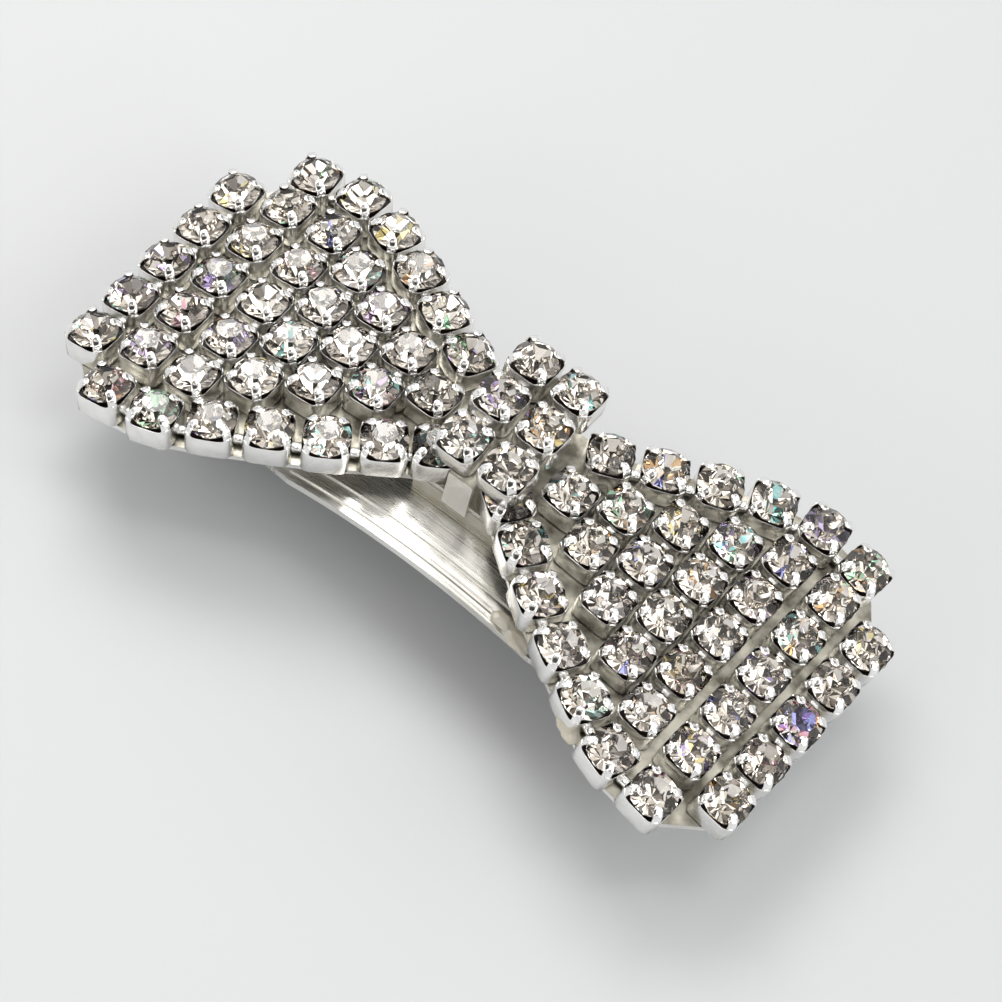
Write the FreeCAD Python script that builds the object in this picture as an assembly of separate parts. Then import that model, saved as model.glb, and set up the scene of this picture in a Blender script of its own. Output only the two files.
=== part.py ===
import FreeCAD, Part
import math
import os

# Rhinestone bow barrette. Millimetres, +Z up, X along the bow, the wearer's hair below.
# Working heights are measured from the top of the bow plate at the waist, then the whole
# assembly is lifted so that it stands at Z = 0 with its bounding box centred on the origin.

os.makedirs("parts", exist_ok=True)
V = FreeCAD.Vector

# ---- driving dimensions -------------------------------------------------
CHAIN_PITCH = 5.42        # cup to cup along the border chains
FIELD_PITCH = 5.66        # cup to cup along the chains laid across a wing
CUP_SIDE = 4.72           # square cup, outside
CUP_CORNER = 0.90         # its corner radius
CUP_HEIGHT = 2.60
CUP_BORE_R = 2.24         # inside the rim
SEAT_R = 1.60             # inner edge of the ledge that carries the stone's cone
SEAT_Z = 2.36
STONE_R = 2.28            # girdle radius of a chaton, a little above the rim
STONE_GIRDLE_Z = 3.00
STONE_TABLE_Z = 4.10
STONE_TABLE_R = 1.25
STONE_CULET_Z = 0.95
PRONG_TOP_Z = 3.80
BOW_R = 185.0             # arch of the bow along X
BOW_SHEET = 0.60
PLATE_MARGIN = 1.70       # plate edge beyond the outer cup centres

KNOT_X = 0.80             # knot sits a little off the middle, as assembled by hand
KNOT_Y = 3.30
KNOT_TOP_Z = 5.05         # top of the knot band at its crown
KNOT_R = 43.0             # its curve along Y
KNOT_CROWN_Y = 5.50
KNOT_BAND_W = 2.80
KNOT_SHEET = 0.50

CLIP_Y = -3.00            # centre line of the clip
BASE_TOP_Z = -2.20
BASE_R = 68.0             # arch of the clip base
BASE_SHEET = 0.80
BASE_W = 16.40            # width across the middle
BASE_END_W = 10.40        # width of the end tabs
BASE_FLAT_X = 26.0        # the arch ends here, a flat tab follows
BASE_HALF = 32.5
RIB_H = 0.22
RIB_W = 0.80

PIN_X = -29.4
PIN_Z = -11.40
PIN_R = 0.60
PIN_BORE_R = 0.65         # running bore of the arm's knuckle
KNUCKLE_R = 1.35
EAR_IN = 4.60             # inner face of the hinge ears, from the centre line
EAR_T = 0.80
FOOT_Z = -13.40           # lowest level of the ears and the clasp

ARM_W = 6.40
ARM_SHEET = 0.70
ARM_MID_Z = -9.75         # middle of the arm's sheet at x = 0
ARM_END_X = 28.6
ARM_HEAD_HALF = 4.10

LEAF_W = 5.40
LEAF_SHEET = 0.35
LEAF_TOP_Z = -3.60
LEAF_R = 74.0
LEAF_HALF = 24.0

GUIDE_X = 25.6            # two bent-down posts steer the arm's head and carry the clip's foot
GUIDE_IN = 4.45
CLASP_X0 = 27.0
CLASP_X1 = 32.0
CLASP_AXIS_Y = 6.45       # squeeze ear pivots, from the centre line
CLASP_AXIS_Z = -9.35
CLASP_PIN_R = 0.40
CLASP_BORE_R = 0.45
CLASP_KNUCKLE_R = 0.85
CLASP_GAP = 0.15          # between barb and arm head at rest

PARTS = {}


def box(x0, x1, y0, y1, z0, z1):
    return Part.makeBox(x1 - x0, y1 - y0, z1 - z0, V(x0, y0, z0))


def cyl_y(r, y0, y1, x, z):
    return Part.makeCylinder(r, y1 - y0, V(x, y0, z), V(0, 1, 0))


def cyl_x(r, x0, x1, y, z):
    return Part.makeCylinder(r, x1 - x0, V(x0, y, z), V(1, 0, 0))


def cyl_z(r, z0, z1, x, y):
    return Part.makeCylinder(r, z1 - z0, V(x, y, z0), V(0, 0, 1))


def arch_drop(x, radius):
    return radius - math.sqrt(radius * radius - x * x)


def shell(y0, y1, top_z, radius, sheet):
    """Arched sheet whose crown touches top_z, full width between y0 and y1."""
    outer = cyl_y(radius, y0, y1, 0, top_z - radius)
    inner = cyl_y(radius - sheet, y0 - 1, y1 + 1, 0, top_z - radius)
    return outer.cut(inner)


def prism(points, z0, z1):
    verts = [V(x, y, z0) for x, y in points]
    wire = Part.makePolygon(verts + [verts[0]])
    return Part.Face(wire).extrude(V(0, 0, z1 - z0))


def mirror_x(shape):
    return shape.mirror(V(0, 0, 0), V(1, 0, 0))


def one(shapes):
    if len(shapes) == 1:
        return shapes[0]
    return shapes[0].multiFuse(shapes[1:]).removeSplitter()


# ---- cup and chaton ------------------------------------------------------
def make_cup():
    """Square cup with a stepped seat and four corner prongs bent over the stone."""
    h = CUP_SIDE / 2
    body = box(-h, h, -h, h, 0, CUP_HEIGHT)
    uprights = [e for e in body.Edges if abs(e.Vertexes[0].Z - e.Vertexes[1].Z) > 1]
    body = body.makeFillet(CUP_CORNER, uprights)
    body = body.cut(cyl_z(SEAT_R, 0.30, CUP_HEIGHT + 1, 0, 0))
    body = body.cut(cyl_z(CUP_BORE_R, SEAT_Z, CUP_HEIGHT + 1, 0, 0))
    prongs = []
    for k in range(4):
        post = box(2.30, 2.90, -0.40, 0.40, 1.90, PRONG_TOP_Z)
        lip = box(1.85, 2.45, -0.36, 0.36, PRONG_TOP_Z - 0.24, PRONG_TOP_Z)
        prong = post.fuse(lip)
        prong.rotate(V(0, 0, 0), V(0, 0, 1), 45 + 90 * k)
        prongs.append(prong)
    return one([body] + prongs)


def make_stone():
    """Round chaton: table, crown, thin girdle and pointed pavilion."""
    girdle_top = STONE_GIRDLE_Z + 0.12
    profile = [
        V(0, 0, STONE_CULET_Z),
        V(STONE_R, 0, STONE_GIRDLE_Z),
        V(STONE_R, 0, girdle_top),
        V(STONE_TABLE_R, 0, STONE_TABLE_Z),
        V(0, 0, STONE_TABLE_Z),
    ]
    face = Part.Face(Part.makePolygon(profile + [profile[0]]))
    return face.revolve(V(0, 0, 0), V(0, 0, 1), 360)


CUP = make_cup()
STONE = make_stone()


def seated(shape, x, y, turn):
    """Put a cup or a stone on the arched bow plate, square to its surface."""
    tilt = math.degrees(math.asin(x / BOW_R))
    placed = shape.copy()
    placed.rotate(V(0, 0, 0), V(0, 0, 1), turn)
    placed.translate(V(0, 0, BOW_R + 0.01))
    placed.rotate(V(0, 0, 0), V(0, 1, 0), tilt)
    placed.translate(V(0, y, -BOW_R))
    return placed


def link_between(a, b):
    """Flat link that joins two neighbouring cups near their floors."""
    length = math.hypot(b[0] - a[0], b[1] - a[1]) - CUP_SIDE + 0.60
    link = box(-length / 2, length / 2, -0.60, 0.60, 0.30, 0.95)
    angle = math.degrees(math.atan2(b[1] - a[1], b[0] - a[0]))
    return seated(link, (a[0] + b[0]) / 2, (a[1] + b[1]) / 2, angle)


# ---- layout of one wing, the right one ------------------------------------
# Chain A borders the upper edge and chain G the lower edge. Chains B (outermost) to H fill
# the field between them and run across the wing; each is half a cup out of step with the next.
def step(point, heading, pitch=CHAIN_PITCH):
    a = math.radians(heading)
    return (point[0] + pitch * math.cos(a), point[1] + pitch * math.sin(a))


def bent_row(knee, outward, inward_count, inward_heading):
    """Points from the outer end to the inner end of a row that bends at its knee."""
    outer = []
    p = knee
    for heading in outward:
        p = step(p, heading)
        outer.append(p)
    inner = []
    p = knee
    for _ in range(inward_count):
        p = step(p, inward_heading + 180)
        inner.append(p)
    return outer[::-1] + [knee] + inner


def wing_chains():
    chains = {"a": bent_row((22.9, 15.9), (16, -6), 3, 27)}
    levels = [bent_row((27.6 - 0.2 * j, 11.9 - FIELD_PITCH * j), (-1, -16), 4 - j, 26) for j in range(5)]
    for k, name in enumerate("bcdefhi"):
        chains[name] = [level[k] for level in levels if k < len(level)]
    border = [(8.3, -5.2)]
    for heading in (-38, -31, -30, -27, -5):
        border.append(step(border[-1], heading))
    chains["g"] = border[::-1] + [(4.25, -2.35)]
    return chains


def headings(points):
    """Chain direction at every cup: the mean of the steps on its two sides."""
    out = []
    n = len(points)
    if n == 1:
        return [-92.0]
    for i in range(n):
        a = points[max(i - 1, 0)]
        b = points[min(i + 1, n - 1)]
        out.append(math.degrees(math.atan2(b[1] - a[1], b[0] - a[0])))
    return out


CHAINS = wing_chains()


def build_chain(points):
    turns = headings(points)
    cups = [seated(CUP, p[0], p[1], t) for p, t in zip(points, turns)]
    links = [link_between(points[i], points[i + 1]) for i in range(len(points) - 1)]
    stones = [seated(STONE, p[0], p[1], t) for p, t in zip(points, turns)]
    return one(cups + links), stones


built = {name: build_chain(points) for name, points in CHAINS.items()}
lone_cup, lone_stone = built.pop("i")
short_chain, short_stones = built["h"]
built["h"] = (Part.makeCompound([short_chain, lone_cup]), short_stones + lone_stone)
for name, (chain, stones) in built.items():
    stones = Part.makeCompound(stones)
    PARTS["right_chain_" + name] = chain
    PARTS["right_stones_" + name] = stones
    PARTS["left_chain_" + name] = mirror_x(chain)
    PARTS["left_stones_" + name] = mirror_x(stones)

# ---- back plates of the wings --------------------------------------------
edge = [(0, CHAINS["a"][-1][1])]
edge += CHAINS["a"][::-1]
edge += CHAINS["b"]
edge += CHAINS["g"]
edge += [(0, CHAINS["g"][-1][1])]
outline = Part.makePolygon([V(x, y, 0) for x, y in edge] + [V(edge[0][0], edge[0][1], 0)])
grown = outline.makeOffset2D(PLATE_MARGIN)
blank = Part.Face(grown).extrude(V(0, 0, 20))
blank.translate(V(0, 0, -15))
wing = blank.common(shell(-30, 30, 0, BOW_R, BOW_SHEET)).common(box(0, 60, -30, 30, -20, 20))
PARTS["right_wing_plate"] = wing
PARTS["left_wing_plate"] = mirror_x(wing)

# ---- knot ----------------------------------------------------------------
WAIST_TOP_Y = edge[0][1] + PLATE_MARGIN
WAIST_BOTTOM_Y = edge[-1][1] - PLATE_MARGIN
leg_hi = WAIST_TOP_Y + 0.02
leg_lo = WAIST_BOTTOM_Y - 0.02
half_band = KNOT_BAND_W / 2
crown = Part.makeCylinder(KNOT_R, KNOT_BAND_W, V(-half_band, KNOT_CROWN_Y, KNOT_TOP_Z - KNOT_R), V(1, 0, 0))
hollow = Part.makeCylinder(KNOT_R - KNOT_SHEET, 20, V(-10, KNOT_CROWN_Y, KNOT_TOP_Z - KNOT_R), V(1, 0, 0))
crown = crown.cut(hollow)
crown = crown.common(box(-9, 9, leg_lo - KNOT_SHEET, leg_hi + KNOT_SHEET, 0, 20))
back_z = -BOW_SHEET - 0.02
legs = []
for lo in (leg_lo - KNOT_SHEET, leg_hi):
    reach = max(abs(lo - KNOT_CROWN_Y), abs(lo + KNOT_SHEET - KNOT_CROWN_Y))
    top = KNOT_TOP_Z - arch_drop(reach, KNOT_R) - 0.05
    legs.append(box(-half_band, half_band, lo, lo + KNOT_SHEET, back_z - KNOT_SHEET, top))
strap = box(-half_band, half_band, leg_lo - KNOT_SHEET, leg_hi + KNOT_SHEET, back_z - KNOT_SHEET, back_z)
PARTS["knot_band"] = one([crown, strap] + legs)


def on_knot(shape, x, y, turn):
    """Put a cup or a stone on the knot band's curve, square to it."""
    tilt = -math.degrees(math.asin((y - KNOT_CROWN_Y) / KNOT_R))
    placed = shape.copy()
    placed.rotate(V(0, 0, 0), V(0, 0, 1), turn)
    placed.translate(V(0, 0, KNOT_R + 0.02))
    placed.rotate(V(0, 0, 0), V(1, 0, 0), tilt)
    placed.translate(V(x, KNOT_CROWN_Y, KNOT_TOP_Z - KNOT_R))
    return placed


KNOT_ROWS = [KNOT_Y + k * (CHAIN_PITCH - 0.15) for k in (1, 0, -1)]
for side, sx in (("left", -1), ("right", 1)):
    x = KNOT_X + sx * 2.62
    cups = [on_knot(CUP, x, y, 90) for y in KNOT_ROWS]
    links = []
    for k in range(2):
        mid = (KNOT_ROWS[k] + KNOT_ROWS[k + 1]) / 2
        gap = KNOT_ROWS[k] - KNOT_ROWS[k + 1] - CUP_SIDE + 0.60
        links.append(on_knot(box(-0.60, 0.60, -gap / 2, gap / 2, 0.30, 0.95), x, mid, 0))
    PARTS["knot_chain_" + side] = one(cups + links)
    PARTS["knot_stones_" + side] = Part.makeCompound([on_knot(STONE, x, y, 90) for y in KNOT_ROWS])

# ---- clip base -----------------------------------------------------------
W2 = BASE_W / 2
E2 = BASE_END_W / 2
plan = [(-BASE_FLAT_X, -E2), (-19, -W2 + 0.9), (-14.5, -W2), (14.5, -W2), (19, -W2 + 0.9), (BASE_FLAT_X, -E2)]
plan += [(BASE_FLAT_X, E2), (19, W2 - 0.9), (14.5, W2), (-14.5, W2), (-19, W2 - 0.9), (-BASE_FLAT_X, E2)]
plan = [(x, y + CLIP_Y) for x, y in plan]
arched = prism(plan, -20, 5).common(shell(CLIP_Y - 12, CLIP_Y + 12, BASE_TOP_Z, BASE_R, BASE_SHEET))
TAB_TOP_Z = BASE_TOP_Z - arch_drop(BASE_FLAT_X, BASE_R)
TAB_LOW_Z = TAB_TOP_Z - BASE_SHEET
pieces = [arched]
for s in (-1, 1):
    x0 = min(s * (BASE_FLAT_X - 0.35), s * BASE_HALF)
    x1 = max(s * (BASE_FLAT_X - 0.35), s * BASE_HALF)
    pieces.append(box(x0, x1, CLIP_Y - E2, CLIP_Y + E2, TAB_LOW_Z, TAB_TOP_Z))
for offset in (-6.9, -5.2, 5.2, 6.9):
    rib = shell(CLIP_Y + offset - RIB_W / 2, CLIP_Y + offset + RIB_W / 2, BASE_TOP_Z + RIB_H, BASE_R + RIB_H, 0.5)
    reach = 20.0 if abs(offset) < 6 else 15.0
    pieces.append(rib.common(box(-reach, reach, CLIP_Y - 12, CLIP_Y + 12, -20, 5)))
for s in (-1, 1):
    y0 = CLIP_Y + min(s * EAR_IN, s * (EAR_IN + EAR_T))
    ear = box(PIN_X - 2.6, PIN_X + 2.6, y0, y0 + EAR_T, FOOT_Z, TAB_TOP_Z)
    corners = [e for e in ear.Edges if abs(e.Vertexes[0].Y - e.Vertexes[1].Y) > 0.5 and e.Vertexes[0].Z < FOOT_Z + 0.1]
    pieces.append(ear.makeFillet(1.2, corners))
for s in (-1, 1):
    y0 = CLIP_Y + min(s * GUIDE_IN, s * (GUIDE_IN + 0.7))
    pieces.append(box(GUIDE_X, GUIDE_X + 1.3, y0, y0 + 0.7, FOOT_Z, TAB_TOP_Z))
base = one(pieces)
base = base.cut(cyl_y(PIN_R, CLIP_Y - 8, CLIP_Y + 8, PIN_X, PIN_Z))
RIVETS = (("clasp_rivet_inner", 28.1), ("clasp_rivet_outer", 30.9))
for name, x in RIVETS:
    base = base.cut(cyl_z(0.70, TAB_LOW_Z - 1, TAB_TOP_Z + 1, x, CLIP_Y))
PARTS["base_plate"] = base

EAR_OUT = EAR_IN + EAR_T
pin = cyl_y(PIN_R, CLIP_Y - EAR_OUT, CLIP_Y + EAR_OUT, PIN_X, PIN_Z)
heads = [cyl_y(1.05, CLIP_Y + EAR_OUT, CLIP_Y + EAR_OUT + 0.35, PIN_X, PIN_Z)]
heads.append(cyl_y(1.05, CLIP_Y - EAR_OUT - 0.35, CLIP_Y - EAR_OUT, PIN_X, PIN_Z))
PARTS["hinge_pin"] = one([pin] + heads)

# ---- leaf spring and its two keepers ------------------------------------
leaf = shell(CLIP_Y - LEAF_W / 2, CLIP_Y + LEAF_W / 2, LEAF_TOP_Z, LEAF_R, LEAF_SHEET)
PARTS["tension_bow"] = leaf.common(box(-LEAF_HALF, LEAF_HALF, -20, 20, -20, 5))
solid_base = prism(plan, -20, 5).common(cyl_y(BASE_R, CLIP_Y - 12, CLIP_Y + 12, 0, BASE_TOP_Z - BASE_R))
solid_base = solid_base.cut(cyl_y(BASE_R - BASE_SHEET, CLIP_Y - 13, CLIP_Y + 13, 0, BASE_TOP_Z - BASE_R))
leaf_low = LEAF_TOP_Z - arch_drop(23.5, LEAF_R) - LEAF_SHEET
keeper_bar = box(21.6, 23.4, CLIP_Y - 3.6, CLIP_Y + 3.6, leaf_low - 0.85, leaf_low - 0.20)
keeper_legs = []
for s in (-1, 1):
    y0 = CLIP_Y + min(s * 2.9, s * 3.6)
    keeper_legs.append(box(21.6, 23.4, y0, y0 + 0.7, leaf_low - 0.85, BASE_TOP_Z - 3.9))
keeper = one([keeper_bar] + keeper_legs)
keeper = keeper.common(cyl_y(BASE_R - BASE_SHEET, CLIP_Y - 13, CLIP_Y + 13, 0, BASE_TOP_Z - BASE_R))
PARTS["right_spring_keeper"] = keeper
PARTS["left_spring_keeper"] = mirror_x(keeper)

# ---- pads between the bow and the base -----------------------------------
pad = box(-5, 5, CLIP_Y - 1.2, CLIP_Y + 9.0, -8, 3)
pad = pad.common(cyl_y(BOW_R - BOW_SHEET, -30, 30, 0, -BOW_R))
pad = pad.cut(cyl_y(BASE_R, -30, 30, 0, BASE_TOP_Z - BASE_R))
pad = pad.cut(box(-half_band, half_band, -30, 30, back_z - KNOT_SHEET, 3))
for offset in (-6.9, -5.2, 5.2, 6.9):
    y0 = CLIP_Y + offset - RIB_W / 2
    pad = pad.cut(cyl_y(BASE_R + RIB_H, y0, y0 + RIB_W, 0, BASE_TOP_Z - BASE_R))
PARTS["saddle_pad"] = pad
glue = cyl_z(3.4, -12, 3, 15.5, CLIP_Y + 0.4)
glue = glue.common(cyl_y(BOW_R - BOW_SHEET, -30, 30, 0, -BOW_R))
glue = glue.cut(cyl_y(BASE_R, -30, 30, 0, BASE_TOP_Z - BASE_R))
PARTS["right_glue_pad"] = glue
PARTS["left_glue_pad"] = mirror_x(glue)

# ---- lock arm ------------------------------------------------------------
ARM_SPAN = -PIN_X
ARM_RISE = ARM_MID_Z - PIN_Z - 0.2
ARM_R = (ARM_SPAN * ARM_SPAN + ARM_RISE * ARM_RISE) / (2 * ARM_RISE)
arm_y0 = CLIP_Y - ARM_W / 2
arm_y1 = CLIP_Y + ARM_W / 2
arm_top = ARM_MID_Z + ARM_SHEET / 2
strip = shell(arm_y0, arm_y1, arm_top, ARM_R, ARM_SHEET)
strip = strip.common(box(PIN_X, ARM_END_X, -20, 20, -20, 5))
knuckle = cyl_y(KNUCKLE_R, CLIP_Y - EAR_IN + 0.3, CLIP_Y + EAR_IN - 0.3, PIN_X, PIN_Z)
head_low = arm_top - ARM_SHEET - arch_drop(26.0, ARM_R)
head = box(ARM_END_X - 3.2, ARM_END_X + 1.4, CLIP_Y - ARM_HEAD_HALF, CLIP_Y + ARM_HEAD_HALF, head_low - 0.25, head_low + 0.65)
ribs = []
for s in (-1, 1):
    flange = shell(CLIP_Y + s * (ARM_W / 2 - 0.35) - 0.35, CLIP_Y + s * (ARM_W / 2 - 0.35) + 0.35, arm_top, ARM_R, 1.35)
    ribs.append(flange.common(box(PIN_X + 2.5, ARM_END_X - 2, -20, 20, -20, 5)))
arm = one([strip, knuckle, head] + ribs)
arm = arm.cut(cyl_y(PIN_BORE_R, CLIP_Y - 8, CLIP_Y + 8, PIN_X, PIN_Z))
PARTS["lock_arm"] = arm
tip_x = ARM_END_X + 1.4
tip = box(tip_x, tip_x + 3.0, CLIP_Y - 2.6, CLIP_Y + 2.6, head_low - 0.25, head_low + 0.65)
tip_edges = [e for e in tip.Edges if abs(e.Vertexes[0].Z - e.Vertexes[1].Z) > 0.5 and e.Vertexes[0].X > tip_x + 2]
PARTS["arm_end_pad"] = tip.makeFillet(1.6, tip_edges)

# ---- clasp ----------------------------------------------------------------
plate = box(CLASP_X0, CLASP_X1, CLIP_Y - 7.2, CLIP_Y + 7.2, TAB_LOW_Z - 0.62, TAB_LOW_Z - 0.02)
lugs = []
for s in (-1, 1):
    for x0 in (CLASP_X0, CLASP_X1 - 0.7):
        y0 = CLIP_Y + s * CLASP_AXIS_Y - 0.75
        lug = box(x0, x0 + 0.7, y0, y0 + 1.5, CLASP_AXIS_Z - 0.80, TAB_LOW_Z - 0.30)
        lugs.append(lug)
bracket = one([plate] + lugs)
for s in (-1, 1):
    bracket = bracket.cut(cyl_x(CLASP_PIN_R, 20, 40, CLIP_Y + s * CLASP_AXIS_Y, CLASP_AXIS_Z))
    slot_y0 = CLIP_Y + s * CLASP_AXIS_Y - 1.05
    bracket = bracket.cut(box(CLASP_X0 + 0.7, CLASP_X1 - 0.7, slot_y0, slot_y0 + 2.1, TAB_LOW_Z - 1.2, TAB_LOW_Z + 1))
for name, x in RIVETS:
    bracket = bracket.cut(cyl_z(0.70, TAB_LOW_Z - 2, TAB_LOW_Z + 1, x, CLIP_Y))
    shank = cyl_z(0.70, TAB_LOW_Z - 0.62, TAB_TOP_Z, x, CLIP_Y)
    top = cyl_z(1.15, TAB_TOP_Z, TAB_TOP_Z + 0.35, x, CLIP_Y)
    low = cyl_z(1.05, TAB_LOW_Z - 0.92, TAB_LOW_Z - 0.62, x, CLIP_Y)
    PARTS[name] = one([shank, top, low])
PARTS["clasp_bracket"] = bracket

for name, s in (("front", -1), ("back", 1)):
    ay = CLIP_Y + s * CLASP_AXIS_Y
    PARTS["clasp_pin_" + name] = cyl_x(CLASP_PIN_R, CLASP_X0 - 0.25, CLASP_X1 + 0.25, ay, CLASP_AXIS_Z)
    x0 = CLASP_X0 + 0.9
    x1 = CLASP_X1 - 0.9
    sleeve = cyl_x(CLASP_KNUCKLE_R, x0, x1, ay, CLASP_AXIS_Z)
    leg_in = ay + s * 0.25
    leg = box(x0, x1, min(leg_in, leg_in + s * 0.60), max(leg_in, leg_in + s * 0.60), FOOT_Z + 0.35, CLASP_AXIS_Z)
    barb_in = CLIP_Y + s * (ARM_HEAD_HALF + CLASP_GAP)
    barb = box(x0, x1, min(barb_in, leg_in + s * 0.3), max(barb_in, leg_in + s * 0.3), head_low - 1.20, head_low - 0.45)
    finger = box(x0, x1, min(leg_in, leg_in + s * 0.60), max(leg_in, leg_in + s * 0.60), CLASP_AXIS_Z, TAB_TOP_Z + 2.2)
    ear = one([sleeve, leg, barb, finger])
    PARTS["clasp_ear_" + name] = ear.cut(cyl_x(CLASP_BORE_R, 20, 40, ay, CLASP_AXIS_Z))

# ---- stand the assembly on Z = 0, centred, and export --------------------
whole = FreeCAD.BoundBox()
for shape in PARTS.values():
    whole.add(shape.optimalBoundingBox(False))
SHIFT = V(-whole.Center.x, -whole.Center.y, -whole.ZMin)
for name, shape in PARTS.items():
    shape.translate(SHIFT)
    shape.exportStep("parts/" + name + ".step")
print("lifted by", SHIFT, "size", whole.XLength, whole.YLength, whole.ZLength, "nodes", len(PARTS))
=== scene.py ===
import bpy
import bmesh
import math
import random
from mathutils import Matrix, Vector, Euler
from mathutils import noise as field


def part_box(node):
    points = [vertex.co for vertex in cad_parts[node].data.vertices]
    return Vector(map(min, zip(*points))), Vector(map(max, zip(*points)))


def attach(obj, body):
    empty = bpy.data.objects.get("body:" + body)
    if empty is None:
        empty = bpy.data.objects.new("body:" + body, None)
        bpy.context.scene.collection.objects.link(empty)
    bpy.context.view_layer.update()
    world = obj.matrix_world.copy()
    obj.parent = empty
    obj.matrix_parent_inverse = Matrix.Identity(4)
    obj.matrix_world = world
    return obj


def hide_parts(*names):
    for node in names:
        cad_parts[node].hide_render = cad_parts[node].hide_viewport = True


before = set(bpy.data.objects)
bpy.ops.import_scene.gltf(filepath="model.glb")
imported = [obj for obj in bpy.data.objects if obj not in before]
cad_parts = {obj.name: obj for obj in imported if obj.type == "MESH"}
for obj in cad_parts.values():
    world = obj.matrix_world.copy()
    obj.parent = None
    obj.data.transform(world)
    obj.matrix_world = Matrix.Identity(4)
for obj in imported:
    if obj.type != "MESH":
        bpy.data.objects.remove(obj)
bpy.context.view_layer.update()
rng = random.Random(71)

# ---- layout, in millimetres, as in the CAD ---------------------------------
CHAIN_PITCH = 5.42
FIELD_PITCH = 5.66
BOW_R = 185.0
KNOT_X = 0.80
KNOT_Y = 3.30
KNOT_TOP_Z = 5.05
KNOT_R = 43.0
KNOT_CROWN_Y = 5.50
CLIP_Y = -3.00
PIN_Z = -11.40          # the pin's place ties this layout to the frame
CUP_SIDE = 4.72
KNOT_PITCH = CHAIN_PITCH - 0.15
KNOT_HALF_GAP = 2.62
LINK_REACH = 0.5
RIM_Z = 2.55
GIRDLE_Z = 3.00
STONE_R = 2.36          # a little fuller than the CAD's stones
TABLE_R = 1.26
TABLE_Z = 4.06
CULET_Z = 0.95


def mid(node):
    lo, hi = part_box(node)
    return [(a + b) / 2 * 1000 for a, b in zip(lo, hi)]


pin_mid = mid("hinge_pin")
SHIFT = Vector((0.0, pin_mid[1] - CLIP_Y, pin_mid[2] - PIN_Z))
TO_FRAME = Matrix.Scale(0.001, 4) @ Matrix.Translation(SHIFT)


# ---- node helpers -----------------------------------------------------------
def new_mat(name):
    m = bpy.data.materials.new(name)
    m.use_nodes = True
    nt = m.node_tree
    return m, nt, nt.nodes["Principled BSDF"]


def add(nt, kind, **props):
    n = nt.nodes.new(kind)
    for k, v in props.items():
        setattr(n, k, v)
    return n


def obj_coords(nt, scale=(1, 1, 1)):
    tc = add(nt, "ShaderNodeTexCoord")
    mp = add(nt, "ShaderNodeMapping")
    mp.inputs["Scale"].default_value = scale
    nt.links.new(tc.outputs["Object"], mp.inputs["Vector"])
    return mp.outputs["Vector"]


def noise(nt, vec, scale, detail=3.0, rough=0.5):
    n = add(nt, "ShaderNodeTexNoise")
    n.inputs["Scale"].default_value = scale
    n.inputs["Detail"].default_value = detail
    n.inputs["Roughness"].default_value = rough
    nt.links.new(vec, n.inputs["Vector"])
    return n.outputs["Fac"]


def ramp(nt, fac, stops):
    r = add(nt, "ShaderNodeValToRGB")
    els = r.color_ramp.elements
    while len(els) < len(stops):
        els.new(0.5)
    for e, (pos, col) in zip(els, stops):
        e.position = pos
        e.color = (*col, 1.0)
    nt.links.new(fac, r.inputs["Fac"])
    return r.outputs["Color"]


def span(nt, fac, lo, hi):
    r = add(nt, "ShaderNodeMapRange")
    r.inputs["From Min"].default_value = 0.3
    r.inputs["From Max"].default_value = 0.7
    r.inputs["To Min"].default_value = lo
    r.inputs["To Max"].default_value = hi
    nt.links.new(fac, r.inputs["Value"])
    return r.outputs["Result"]


def bump(nt, bsdf, height, strength, distance):
    b = add(nt, "ShaderNodeBump")
    b.inputs["Strength"].default_value = strength
    b.inputs["Distance"].default_value = distance
    nt.links.new(height, b.inputs["Height"])
    nt.links.new(b.outputs["Normal"], bsdf.inputs["Normal"])


# ---- materials ----------------------------------------------------------------
def plated(name, bright, dim, r_lo, r_hi, grain=900.0, dent=0.00003):
    m, nt, b = new_mat(name)
    v = obj_coords(nt)
    n = noise(nt, v, grain)
    nt.links.new(ramp(nt, n, [(0.35, dim), (0.62, bright)]), b.inputs["Base Color"])
    b.inputs["Metallic"].default_value = 1.0
    nt.links.new(span(nt, noise(nt, v, grain * 0.4), r_lo, r_hi), b.inputs["Roughness"])
    bump(nt, b, noise(nt, v, grain * 0.7, 2.0), 0.35, dent)
    return m


def streaked(name, bright, dim, r_lo, r_hi, depth):
    """Polished strip with drawing marks along its length."""
    m, nt, b = new_mat(name)
    v = obj_coords(nt, (14, 2300, 60))
    n = noise(nt, v, 1.6, 4.0, 0.6)
    nt.links.new(ramp(nt, n, [(0.3, dim), (0.5, bright), (0.75, bright)]), b.inputs["Base Color"])
    b.inputs["Metallic"].default_value = 1.0
    nt.links.new(span(nt, n, r_lo, r_hi), b.inputs["Roughness"])
    bump(nt, b, noise(nt, v, 1.0, 3.0), 0.9, depth)
    return m


def painted_cup_shade(name):
    """Painted shade on the inner walls and seats of the cups, under the stones."""
    m, nt, b = new_mat(name)
    v = obj_coords(nt)
    n = noise(nt, v, 1500.0)
    colour = ramp(nt, n, [(0.3, (0.010, 0.006, 0.004)), (0.7, (0.045, 0.026, 0.016))])
    nt.links.new(colour, b.inputs["Base Color"])
    nt.links.new(span(nt, n, 0.35, 0.6), b.inputs["Roughness"])
    return m


def painted_facet_tint(nt, lo, hi, scale):
    """The facet's painted colour (painted darker greys, painted coloured glints, faint tints), mottled a
    little by a noise.
    """
    a = add(nt, "ShaderNodeAttribute", attribute_name="painted_facet_light")
    n = noise(nt, obj_coords(nt), scale)
    mix = add(nt, "ShaderNodeMix", data_type="RGBA", blend_type="MULTIPLY")
    mix.inputs[0].default_value = 1.0
    nt.links.new(a.outputs["Color"], mix.inputs[6])
    nt.links.new(ramp(nt, n, [(0.3, lo), (0.7, hi)]), mix.inputs[7])
    return mix.outputs[2]


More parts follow.
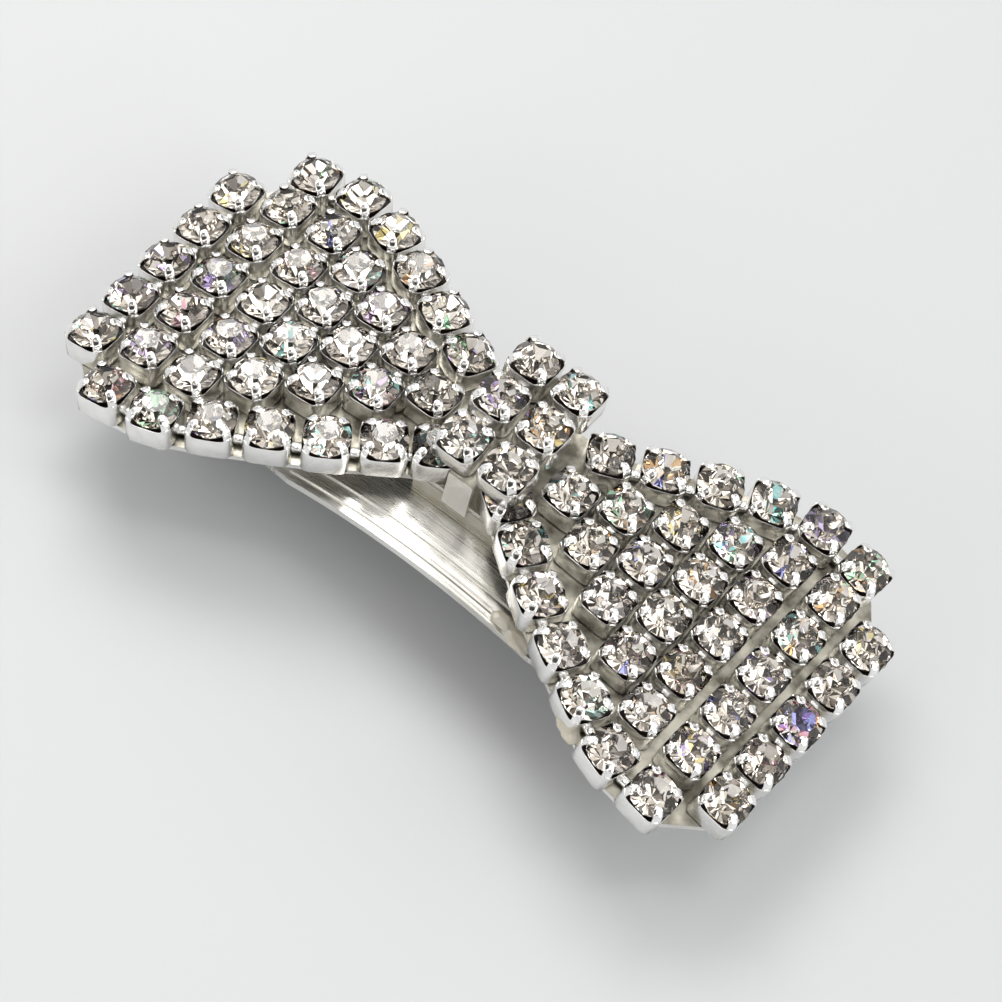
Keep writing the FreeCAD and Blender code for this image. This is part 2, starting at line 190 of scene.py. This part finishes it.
def crystal(name):
    m, nt, b = new_mat(name)
    # crown facets: faint tints and, on some, painted coloured glints
    nt.links.new(painted_facet_tint(nt, (0.95, 0.93, 0.90), (1.0, 0.99, 0.97), 260.0), b.inputs["Base Color"])
    b.inputs["Transmission Weight"].default_value = 1.0
    b.inputs["IOR"].default_value = 1.57
    b.inputs["Roughness"].default_value = 0.0
    return m


def foil(name):
    """Mirror backing of the stones; each facet carries a painted grey that darkens some facets, rarely a
    painted coloured glint.
    """
    m, nt, b = new_mat(name)
    nt.links.new(painted_facet_tint(nt, (0.88, 0.86, 0.84), (1.0, 1.0, 1.0), 700.0), b.inputs["Base Color"])
    b.inputs["Metallic"].default_value = 1.0
    b.inputs["Roughness"].default_value = 0.02
    return m


def lacquer(name):
    """Brown coat that protects the foil, seen from outside the stone."""
    m, nt, b = new_mat(name)
    n = noise(nt, obj_coords(nt), 1200.0)
    colour = ramp(nt, n, [(0.3, (0.012, 0.007, 0.004)), (0.7, (0.040, 0.024, 0.014))])
    nt.links.new(colour, b.inputs["Base Color"])
    nt.links.new(span(nt, n, 0.25, 0.5), b.inputs["Roughness"])
    return m


def sheet_mat(name):
    """Plated sheet: plain from behind; its upper face is darker between the cups, partly from glue patches,
    partly from painted shade.
    """
    m, nt, b = new_mat(name)
    v = obj_coords(nt)
    tc = add(nt, "ShaderNodeTexCoord")
    sep = add(nt, "ShaderNodeSeparateXYZ")
    nt.links.new(tc.outputs["Normal"], sep.inputs["Vector"])
    top = add(nt, "ShaderNodeMapRange")
    top.inputs["From Min"].default_value = 0.2
    top.inputs["From Max"].default_value = 0.6
    nt.links.new(sep.outputs["Z"], top.inputs["Value"])
    mix = add(nt, "ShaderNodeMix", data_type="RGBA")
    nt.links.new(top.outputs["Result"], mix.inputs[0])
    plain = ramp(nt, noise(nt, v, 500.0), [(0.3, (0.78, 0.77, 0.75)), (0.7, (0.90, 0.89, 0.87))])
    # upper face: glue patches mixed with painted shade between the cups
    glue_and_painted_shade = ramp(nt, noise(nt, v, 420.0), [(0.35, (0.13, 0.12, 0.095)), (0.62, (0.50, 0.48, 0.41))])
    nt.links.new(plain, mix.inputs[6])
    nt.links.new(glue_and_painted_shade, mix.inputs[7])
    nt.links.new(mix.outputs[2], b.inputs["Base Color"])
    b.inputs["Metallic"].default_value = 1.0
    nt.links.new(span(nt, noise(nt, v, 170.0), 0.26, 0.42), b.inputs["Roughness"])
    bump(nt, b, noise(nt, v, 300.0, 2.0), 0.3, 0.00004)
    return m


def glue_mat(name):
    m, nt, b = new_mat(name)
    v = obj_coords(nt)
    n = noise(nt, v, 420.0)
    nt.links.new(ramp(nt, n, [(0.3, (0.70, 0.64, 0.50)), (0.7, (0.90, 0.87, 0.78))]), b.inputs["Base Color"])
    b.inputs["Transmission Weight"].default_value = 0.45
    b.inputs["IOR"].default_value = 1.48
    nt.links.new(span(nt, noise(nt, v, 300.0), 0.08, 0.22), b.inputs["Roughness"])
    bump(nt, b, noise(nt, v, 500.0), 0.5, 0.00008)
    return m


SILVER = plated("cup_silver", (0.95, 0.945, 0.93), (0.86, 0.85, 0.83), 0.16, 0.30)
PRONG = plated("prong_silver", (0.97, 0.965, 0.955), (0.90, 0.89, 0.87), 0.08, 0.18)
SHEET = sheet_mat("back_sheet_silver")
# base strip: its darker streaks are partly drawing marks, partly painted reflection of the room along the
# strip
STRIP = streaked("base_strip_silver", (0.93, 0.92, 0.88), (0.42, 0.40, 0.34), 0.20, 0.36, 0.00004)
STEEL = streaked("lock_arm_silver", (0.90, 0.90, 0.89), (0.70, 0.70, 0.69), 0.18, 0.34, 0.00003)
SPRING = streaked("leaf_spring_steel", (0.66, 0.66, 0.66), (0.48, 0.48, 0.49), 0.28, 0.42, 0.00003)
FITTING = plated("fitting_silver", (0.91, 0.90, 0.88), (0.78, 0.77, 0.75), 0.14, 0.28, 700.0)
CUP_SHADE = painted_cup_shade("cup_inside_painted_shade")
CRYSTAL = crystal("stone_crystal")
FOIL = foil("stone_foil")
LACQUER = lacquer("foil_lacquer")
GLUE = glue_mat("clear_glue")


# ---- mesh helpers ---------------------------------------------------------------
def finish_mesh(name, bm, mats, body, smooth_deg=50.0):
    """Write a bmesh in working millimetres to an object in the frame's metres."""
    bmesh.ops.recalc_face_normals(bm, faces=bm.faces)
    bmesh.ops.transform(bm, matrix=TO_FRAME, verts=bm.verts)
    me = bpy.data.meshes.new(name)
    bm.to_mesh(me)
    bm.free()
    for m in mats:
        me.materials.append(m)
    ob = bpy.data.objects.new(name, me)
    bpy.context.scene.collection.objects.link(ob)
    if smooth_deg:
        for p in me.polygons:
            p.use_smooth = True
        me.set_sharp_from_angle(angle=math.radians(smooth_deg))
    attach(ob, body)
    return ob


def ring(bm, pts):
    return [bm.verts.new(p) for p in pts]


def bridge(bm, a, b, mat):
    n = len(a)
    for i in range(n):
        f = bm.faces.new((a[i], a[(i + 1) % n], b[(i + 1) % n], b[i]))
        f.material_index = mat


def cap(bm, a, mat, flip=False):
    f = bm.faces.new(a[::-1] if flip else a)
    f.material_index = mat
    return f


N_CUP = 40
CUP_ANGLES = [2 * math.pi * (k + 0.5) / N_CUP for k in range(N_CUP)]


def square_ring(half, corner, z, lift=0.0):
    """Rounded square, even in angle so that it bridges to a circle; lift raises its corners."""
    pts = []
    inner = half - corner
    for a in CUP_ANGLES:
        c, s = math.cos(a), math.sin(a)
        t = half / max(abs(c), abs(s))
        if abs(c) * t > inner and abs(s) * t > inner:
            b = (abs(c) + abs(s)) * inner
            t = b + math.sqrt(max(b * b - 2 * inner * inner + corner * corner, 0.0))
        rise = lift * (0.5 - 0.5 * math.cos(4 * a)) ** 5
        pts.append(Vector((c * t, s * t, z + rise)))
    return pts


def circle_ring(r, z):
    return [Vector((r * math.cos(a), r * math.sin(a), z)) for a in CUP_ANGLES]


def cup_into(bm, place, wob):
    """One prong cup: square wall, rolled rim, seat in painted shade, four bent prongs."""
    rings = [
        (square_ring(2.06, 0.72, 0.02), 0),
        (square_ring(2.28, 0.84, 0.06), 0),
        (square_ring(2.35, 0.89, 0.24), 0),
        (square_ring(2.35, 0.89, RIM_Z - 0.12, 0.28), 0),
        (square_ring(2.33, 0.88, RIM_Z - 0.03, 0.36), 0),
        (square_ring(2.30, 0.87, RIM_Z, 0.38), 0),
        (square_ring(2.25, 0.86, RIM_Z - 0.03, 0.36), 0),
        (square_ring(2.23, 0.86, RIM_Z - 0.14, 0.28), 0),
        (square_ring(2.22, 0.86, 1.90), 1),
        (circle_ring(1.50, 1.84), 1),
        (circle_ring(1.40, 0.50), 1),
        (circle_ring(0.60, 0.42), 1),
    ]
    made = [(ring(bm, [place(p) for p in pts]), mat) for pts, mat in rings]
    for (a, _), (b, mat) in zip(made, made[1:]):
        bridge(bm, a, b, mat)
    cap(bm, made[0][0], 0, True)
    cap(bm, made[-1][0], 1)
    for k in range(4):
        prong_into(bm, place, 45 + 90 * k + wob.uniform(-3, 3), wob.uniform(-0.07, 0.07))


PRONG_PATH = (
    # radius, height, half width, half thickness
    (2.64, 1.60, 0.42, 0.11),
    (2.70, 2.40, 0.44, 0.12),
    (2.70, 2.84, 0.45, 0.12),
    (2.62, 3.20, 0.45, 0.12),
    (2.42, 3.48, 0.45, 0.12),
    (2.14, 3.66, 0.45, 0.11),
    (1.90, 3.77, 0.43, 0.10),
    (1.71, 3.83, 0.36, 0.09),
    (1.60, 3.85, 0.20, 0.05),
)


def prong_into(bm, place, turn, reach):
    a = math.radians(turn)
    radial = Vector((math.cos(a), math.sin(a), 0))
    across = Vector((-math.sin(a), math.cos(a), 0))
    n = 12
    loops = []
    count = len(PRONG_PATH)
    for i, (r, z, w, t) in enumerate(PRONG_PATH):
        lo = PRONG_PATH[max(i - 1, 0)]
        hi = PRONG_PATH[min(i + 1, count - 1)]
        tangent = (radial * (hi[0] - lo[0]) + Vector((0, 0, hi[1] - lo[1]))).normalized()
        normal = tangent.cross(across)
        centre = radial * (r + (reach if i >= 4 else 0.0)) + Vector((0, 0, z))
        pts = []
        for k in range(n):
            b = 2 * math.pi * (k + 0.5) / n
            c, s = math.cos(b), math.sin(b)
            x = math.copysign(abs(c) ** 0.7, c) * w
            y = math.copysign(abs(s) ** 0.7, s) * t
            pts.append(place(centre + across * x + normal * y))
        loops.append(ring(bm, pts))
    for p, q in zip(loops, loops[1:]):
        bridge(bm, p, q, 2)
    cap(bm, loops[0], 2, True)
    cap(bm, loops[-1], 2)


def link_into(bm, place, length):
    """Folded link between two cups, rounded along its edges."""
    hw, z0, z1 = 0.62, 0.30, 1.02
    section = [
        (-hw, z0 + 0.12), (-hw + 0.12, z0), (hw - 0.12, z0), (hw, z0 + 0.12),
        (hw, z1 - 0.22), (hw - 0.25, z1), (-hw + 0.25, z1), (-hw, z1 - 0.22),
    ]
    ends = []
    for x, grow in ((-length / 2, 1.0), (-length * 0.22, 0.80), (length * 0.22, 0.80), (length / 2, 1.0)):
        ends.append(ring(bm, [place(Vector((x, y * grow, z0 + (z - z0) * grow))) for y, z in section]))
    for a, b in zip(ends, ends[1:]):
        bridge(bm, a, b, 0)
    cap(bm, ends[0], 0, True)
    cap(bm, ends[-1], 0)


# painted coloured glints (fire) and painted greys that darken some foil facets
PAINTED_GLINTS = (
    (0.16, 0.20, 1.00), (0.34, 0.24, 1.00), (0.55, 0.35, 1.00), (1.00, 0.45, 0.14),
    (1.00, 0.80, 0.20), (0.20, 0.85, 0.95), (0.30, 0.95, 0.55), (0.95, 0.35, 0.55),
)
PAINTED_FACET_GREYS = (
    (1.00, 0.99, 0.97), (0.97, 0.95, 0.93), (0.92, 0.90, 0.88), (0.86, 0.84, 0.82),
    (0.99, 0.98, 0.96), (0.70, 0.68, 0.66), (0.95, 0.94, 0.90), (0.42, 0.40, 0.38),
)
SOFT_PAINTED_GLINTS = tuple(tuple(0.45 + 0.5 * c for c in colour) for colour in PAINTED_GLINTS)
HINTS = ((1.0, 0.99, 0.96), (1.0, 0.97, 0.92), (0.98, 0.97, 1.0), (0.96, 0.94, 0.91))


def pick(draw, options):
    return options[draw.randrange(len(options))]


def stone_into(bm, place, draw, layer):
    """Chaton: table, eight mains and eight triangles on the crown, eight foiled facets below."""
    turn = draw.uniform(0, math.pi / 4)
    tip = Euler((math.radians(draw.uniform(-3, 3)), math.radians(draw.uniform(-3, 3)), turn)).to_matrix()
    centre = Vector((0, 0, GIRDLE_Z))

    def at(r, deg, z):
        a = math.radians(deg)
        p = Vector((r * math.cos(a), r * math.sin(a), z)) - centre
        return bm.verts.new(place(tip @ p + centre))

    table = [at(TABLE_R, 45 * i + 22.5, TABLE_Z) for i in range(8)]
    top = [at(STONE_R, 11.25 + 22.5 * k, GIRDLE_Z + 0.10) for k in range(16)]
    dip = (GIRDLE_Z - CULET_Z) * (1 - math.cos(math.radians(22.5)))
    low = [at(STONE_R, 11.25 + 22.5 * k, GIRDLE_Z - (0 if k % 2 else dip)) for k in range(16)]
    culet = at(0.0, 0, CULET_Z)

    def face(verts, mat):
        f = bm.faces.new(verts)
        f.material_index = mat
        # painted facet light: foil facets get a painted grey or rarely a soft painted glint, crown facets a
        # faint tint or a painted glint
        colour = (0.02, 0.015, 0.01)
        if mat == 1:
            colour = pick(draw, SOFT_PAINTED_GLINTS) if draw.random() < 0.008 else pick(draw, PAINTED_FACET_GREYS)
        elif mat == 0:
            glint = draw.random() < (0.13 if len(verts) == 3 else 0.025)
            colour = pick(draw, PAINTED_GLINTS) if glint else pick(draw, HINTS)
        f[layer] = Vector((*colour, 1.0))

    face(table, 0)
    for i in range(8):
        face((table[i - 1], table[i], top[2 * i], top[2 * i - 1]), 0)
        face((table[i], top[2 * i + 1], top[2 * i]), 0)
        face((culet, low[2 * i], low[2 * i + 1], low[(2 * i + 2) % 16]), 1)
    for k in range(16):
        face((top[k], low[k], low[(k + 1) % 16], top[(k + 1) % 16]), 0)
    coats = []
    for grow in (0.012, 0.055):
        edge_z = GIRDLE_Z - 0.03 - grow * 0.5
        rim = [at(STONE_R + grow - 0.02, 11.25 + 22.5 * k, edge_z - (0 if k % 2 else dip)) for k in range(16)]
        coats.append((rim, at(0.0, 0, CULET_Z - grow * 1.35)))
    for k in range(16):
        j = (k + 1) % 16
        face((coats[0][0][k], coats[0][1], coats[0][0][j]), 2)
        face((coats[1][0][k], coats[1][0][j], coats[1][1]), 2)
        face((coats[0][0][k], coats[0][0][j], coats[1][0][j], coats[1][0][k]), 2)


# ---- placing on the bow and on the knot ---------------------------------------------
def on_bow(x, y, turn):
    tilt = math.asin(x / BOW_R)
    m = Matrix.Translation((0, y, -BOW_R)) @ Matrix.Rotation(tilt, 4, "Y")
    m = m @ Matrix.Translation((0, 0, BOW_R + 0.01))
    m = m @ Matrix.Rotation(math.radians(turn), 4, "Z")
    return lambda p: m @ p


def on_knot(x, y, turn):
    tilt = -math.asin((y - KNOT_CROWN_Y) / KNOT_R)
    m = Matrix.Translation((x, KNOT_CROWN_Y, KNOT_TOP_Z - KNOT_R)) @ Matrix.Rotation(tilt, 4, "X")
    m = m @ Matrix.Translation((0, 0, KNOT_R + 0.02)) @ Matrix.Rotation(math.radians(turn), 4, "Z")
    return lambda p: m @ p


def step(point, heading, pitch=CHAIN_PITCH):
    a = math.radians(heading)
    return (point[0] + pitch * math.cos(a), point[1] + pitch * math.sin(a))


def bent_row(knee, outward, inward_count, inward_heading):
    outer = []
    p = knee
    for heading in outward:
        p = step(p, heading)
        outer.append(p)
    inner = []
    p = knee
    for _ in range(inward_count):
        p = step(p, inward_heading + 180)
        inner.append(p)
    return outer[::-1] + [knee] + inner


def wing_chains():
    """Chain A borders the upper edge, chain G the lower edge, the others run across the wing."""
    chains = {"a": bent_row((22.9, 15.9), (16, -6), 3, 27)}
    levels = [bent_row((27.6 - 0.2 * j, 11.9 - FIELD_PITCH * j), (-1, -16), 4 - j, 26) for j in range(5)]
    for k, name in enumerate("bcdefhi"):
        chains[name] = [level[k] for level in levels if k < len(level)]
    border = [(8.3, -5.2)]
    for heading in (-38, -31, -30, -27, -5):
        border.append(step(border[-1], heading))
    chains["g"] = border[::-1] + [(4.25, -2.35)]
    return chains


def headings(points):
    out = []
    n = len(points)
    if n == 1:
        return [-92.0]
    for i in range(n):
        a = points[max(i - 1, 0)]
        b = points[min(i + 1, n - 1)]
        out.append(math.degrees(math.atan2(b[1] - a[1], b[0] - a[0])))
    return out


def build_chain(name, node, seats, links, stones_node):
    """seats: placing functions of the cups; links: (placing function, length)."""
    bm = bmesh.new()
    for place in seats:
        cup_into(bm, place, rng)
    for place, length in links:
        link_into(bm, place, length)
    cups = finish_mesh(name, bm, [SILVER, CUP_SHADE, PRONG], "bow_and_base")
    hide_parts(node)
    bm = bmesh.new()
    layer = bm.faces.layers.float_color.new("painted_facet_light")
    for place in seats:
        stone_into(bm, place, rng, layer)
    stones_name = name.replace("cups", "crystals")
    stones = finish_mesh(stones_name, bm, [CRYSTAL, FOIL, LACQUER], "bow_and_base", 0)
    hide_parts(stones_node)


CHAINS = wing_chains()
for side, sx in (("left", -1), ("right", 1)):
    made = {}
    for key, pts in CHAINS.items():
        pts = [(sx * x, y) for x, y in pts]
        seats = [on_bow(x, y, t) for (x, y), t in zip(pts, headings(pts))]
        links = []
        for a, b in zip(pts, pts[1:]):
            length = math.hypot(b[0] - a[0], b[1] - a[1]) - CUP_SIDE + LINK_REACH
            angle = math.degrees(math.atan2(b[1] - a[1], b[0] - a[0]))
            links.append((on_bow((a[0] + b[0]) / 2, (a[1] + b[1]) / 2, angle), length))
        made[key] = (seats, links)
    lone_seats, _ = made.pop("i")
    made["h"] = (made["h"][0] + lone_seats, made["h"][1])
    for key, (seats, links) in made.items():
        build_chain(f"{side}_cups_{key}", f"{side}_chain_{key}", seats, links, f"{side}_stones_{key}")

knot_rows = [KNOT_Y + k * KNOT_PITCH for k in (1, 0, -1)]
for side, sx in (("left", -1), ("right", 1)):
    x = KNOT_X + sx * KNOT_HALF_GAP
    seats = [on_knot(x, y, 90) for y in knot_rows]
    length = KNOT_PITCH - CUP_SIDE + LINK_REACH
    links = [(on_knot(x, (a + b) / 2, 90), length) for a, b in zip(knot_rows, knot_rows[1:])]
    build_chain(f"knot_cups_{side}", f"knot_chain_{side}", seats, links, f"knot_stones_{side}")

# ---- glue squeezed out beside the cups and at the end of the base strip ------------------
def glue_drop(name, at, size, turn):
    """Lumpy lens of glue, partly sunk into what it holds."""
    bm = bmesh.new()
    bmesh.ops.create_icosphere(bm, subdivisions=4, radius=1.0)
    spin = Matrix.Rotation(math.radians(turn), 3, "Z")
    for v in bm.verts:
        p = v.co.copy()
        k = 1.0 + 0.30 * field.noise(p * 1.4 + Vector(at)) + 0.10 * field.noise(p * 3.7 + Vector(at))
        v.co = spin @ Vector((p.x * size[0] * k, p.y * size[1] * k, p.z * size[2] * k)) + Vector(at)
    return finish_mesh(name, bm, [GLUE], "bow_and_base", 80.0)


GLUE_DROPS = (
    ("glue_strip_end", (12.9, -10.7, -3.05), (1.9, 1.0, 0.62), -18),
    ("glue_strip_edge", (10.6, -10.2, -2.75), (1.3, 0.8, 0.40), -8),
    ("glue_left_inner", (-11.1, 0.4, 0.05), (1.5, 0.8, 0.55), 35),
    ("glue_left_waist", (-9.3, 3.6, 0.05), (1.3, 0.7, 0.50), 80),
    ("glue_left_upper", (-14.1, 7.5, 0.00), (1.2, 0.7, 0.50), 20),
    ("glue_right_inner", (8.8, 7.2, 0.05), (1.5, 0.8, 0.55), -30),
    ("glue_right_edge", (22.5, -16.5, -0.75), (1.6, 0.9, 0.55), -28),
)
for drop_name, drop_at, drop_size, drop_turn in GLUE_DROPS:
    glue_drop(drop_name, drop_at, drop_size, drop_turn)

# ---- CAD nodes that stay, with finished materials --------------------------------------
KEEP = {
    "left_wing_plate": SHEET, "right_wing_plate": SHEET, "knot_band": SHEET,
    "base_plate": STRIP, "lock_arm": STEEL, "arm_end_pad": STEEL, "tension_bow": SPRING,
    "hinge_pin": FITTING, "clasp_bracket": FITTING,
    "clasp_rivet_inner": FITTING, "clasp_rivet_outer": FITTING,
    "clasp_pin_front": FITTING, "clasp_pin_back": FITTING,
    "clasp_ear_front": FITTING, "clasp_ear_back": FITTING,
    "left_spring_keeper": FITTING, "right_spring_keeper": FITTING,
    "saddle_pad": GLUE, "left_glue_pad": GLUE, "right_glue_pad": GLUE,
}
for node, mat in KEEP.items():
    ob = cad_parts[node]
    ob.data.materials.clear()
    ob.data.materials.append(mat)

# ---- stage ---------------------------------------------------------------------------
bpy.ops.mesh.primitive_plane_add(size=6.0, location=(0, 0, -0.00005))
floor = bpy.context.object
floor.name = "floor"
fm, fnt, fb = new_mat("floor_pale")
fv = obj_coords(fnt)
fn = noise(fnt, fv, 3.0)
floor_colour = ramp(fnt, fn, [(0.3, (0.515, 0.524, 0.536)), (0.7, (0.538, 0.547, 0.559))])
fnt.links.new(floor_colour, fb.inputs["Base Color"])
fb.inputs["Roughness"].default_value = 0.55
floor.data.materials.append(fm)

world = bpy.data.worlds.new("studio")
bpy.context.scene.world = world
world.use_nodes = True
wnt = world.node_tree
bg = wnt.nodes["Background"]
tc = add(wnt, "ShaderNodeTexCoord")
sep = add(wnt, "ShaderNodeSeparateXYZ")
wnt.links.new(tc.outputs["Generated"], sep.inputs["Vector"])
BASE_STOPS = [(0.0, (0.80, 0.81, 0.82)), (0.30, (0.78, 0.78, 0.79)), (1.0, (0.66, 0.65, 0.64))]
base = ramp(wnt, sep.outputs["Z"], BASE_STOPS)
flags = noise(wnt, tc.outputs["Generated"], 2.3, 1.0)
PATCH_STOPS = [
    (0.0, (2.6, 2.58, 2.50)),
    (0.44, (2.2, 2.18, 2.12)),
    (0.48, (1.05, 1.04, 1.02)),
    (0.57, (0.92, 0.90, 0.87)),
    (0.60, (0.26, 0.24, 0.22)),
    (1.0, (0.10, 0.09, 0.08)),
]
patch = ramp(wnt, flags, PATCH_STOPS)
up = add(wnt, "ShaderNodeMapRange")
up.inputs["From Min"].default_value = 0.30
up.inputs["From Max"].default_value = 0.48
wnt.links.new(sep.outputs["Z"], up.inputs["Value"])
sky = add(wnt, "ShaderNodeMix", data_type="RGBA")
wnt.links.new(up.outputs["Result"], sky.inputs[0])
wnt.links.new(base, sky.inputs[6])
wnt.links.new(patch, sky.inputs[7])
# the dark round of the lens and the photographer
dot = add(wnt, "ShaderNodeVectorMath", operation="DOT_PRODUCT")
dot.inputs[1].default_value = (0.216, -0.515, 0.830)
wnt.links.new(tc.outputs["Generated"], dot.inputs[0])
lens = add(wnt, "ShaderNodeMapRange")
lens.inputs["From Min"].default_value = 0.93
lens.inputs["From Max"].default_value = 0.96
wnt.links.new(dot.outputs["Value"], lens.inputs["Value"])
room = add(wnt, "ShaderNodeMix", data_type="RGBA")
wnt.links.new(lens.outputs["Result"], room.inputs[0])
wnt.links.new(sky.outputs[2], room.inputs[6])
room.inputs[7].default_value = (0.06, 0.055, 0.05, 1.0)
wnt.links.new(room.outputs[2], bg.inputs["Color"])
bg.inputs["Strength"].default_value = 0.95


def soft_box(name, loc, target, size, power, colour=(1, 1, 1)):
    data = bpy.data.lights.new(name, "AREA")
    data.shape = "RECTANGLE"
    data.size, data.size_y = size
    data.energy = power
    data.color = colour
    ob = bpy.data.objects.new(name, data)
    ob.location = loc
    ob.rotation_euler = (Vector(target) - Vector(loc)).to_track_quat("-Z", "Y").to_euler()
    bpy.context.scene.collection.objects.link(ob)


soft_box("key_box", (-0.35, 0.25, 0.55), (0, 0, 0.01), (0.42, 0.30), 2.4, (1.0, 0.99, 0.97))
soft_box("side_box", (0.55, -0.10, 0.32), (0, 0, 0.01), (0.22, 0.40), 0.7, (0.96, 0.98, 1.0))
soft_box("front_box", (-0.15, -0.60, 0.30), (0, 0, 0.01), (0.45, 0.16), 0.5)
soft_box("top_strip", (0.10, 0.10, 0.70), (0, 0, 0.01), (0.10, 0.35), 0.5)

# ---- camera at the photograph's angle ----------------------------------------------------
CAM_ANGLES = (32.744, -9.432, 37.051)
CAM_AT = Vector((75.02, -172.63, 276.11))
cam_data = bpy.data.cameras.new("camera")
cam_data.lens = 125.7
cam_data.sensor_width = 36.0
cam_data.clip_start = 0.01
cam_data.clip_end = 20.0
cam = bpy.data.objects.new("camera", cam_data)
cam.location = (CAM_AT + SHIFT) * 0.001
cam.rotation_euler = Euler([math.radians(a) for a in CAM_ANGLES], "XYZ")
bpy.context.scene.collection.objects.link(cam)
bpy.context.scene.camera = cam
bpy.context.scene.view_settings.view_transform = "Standard"
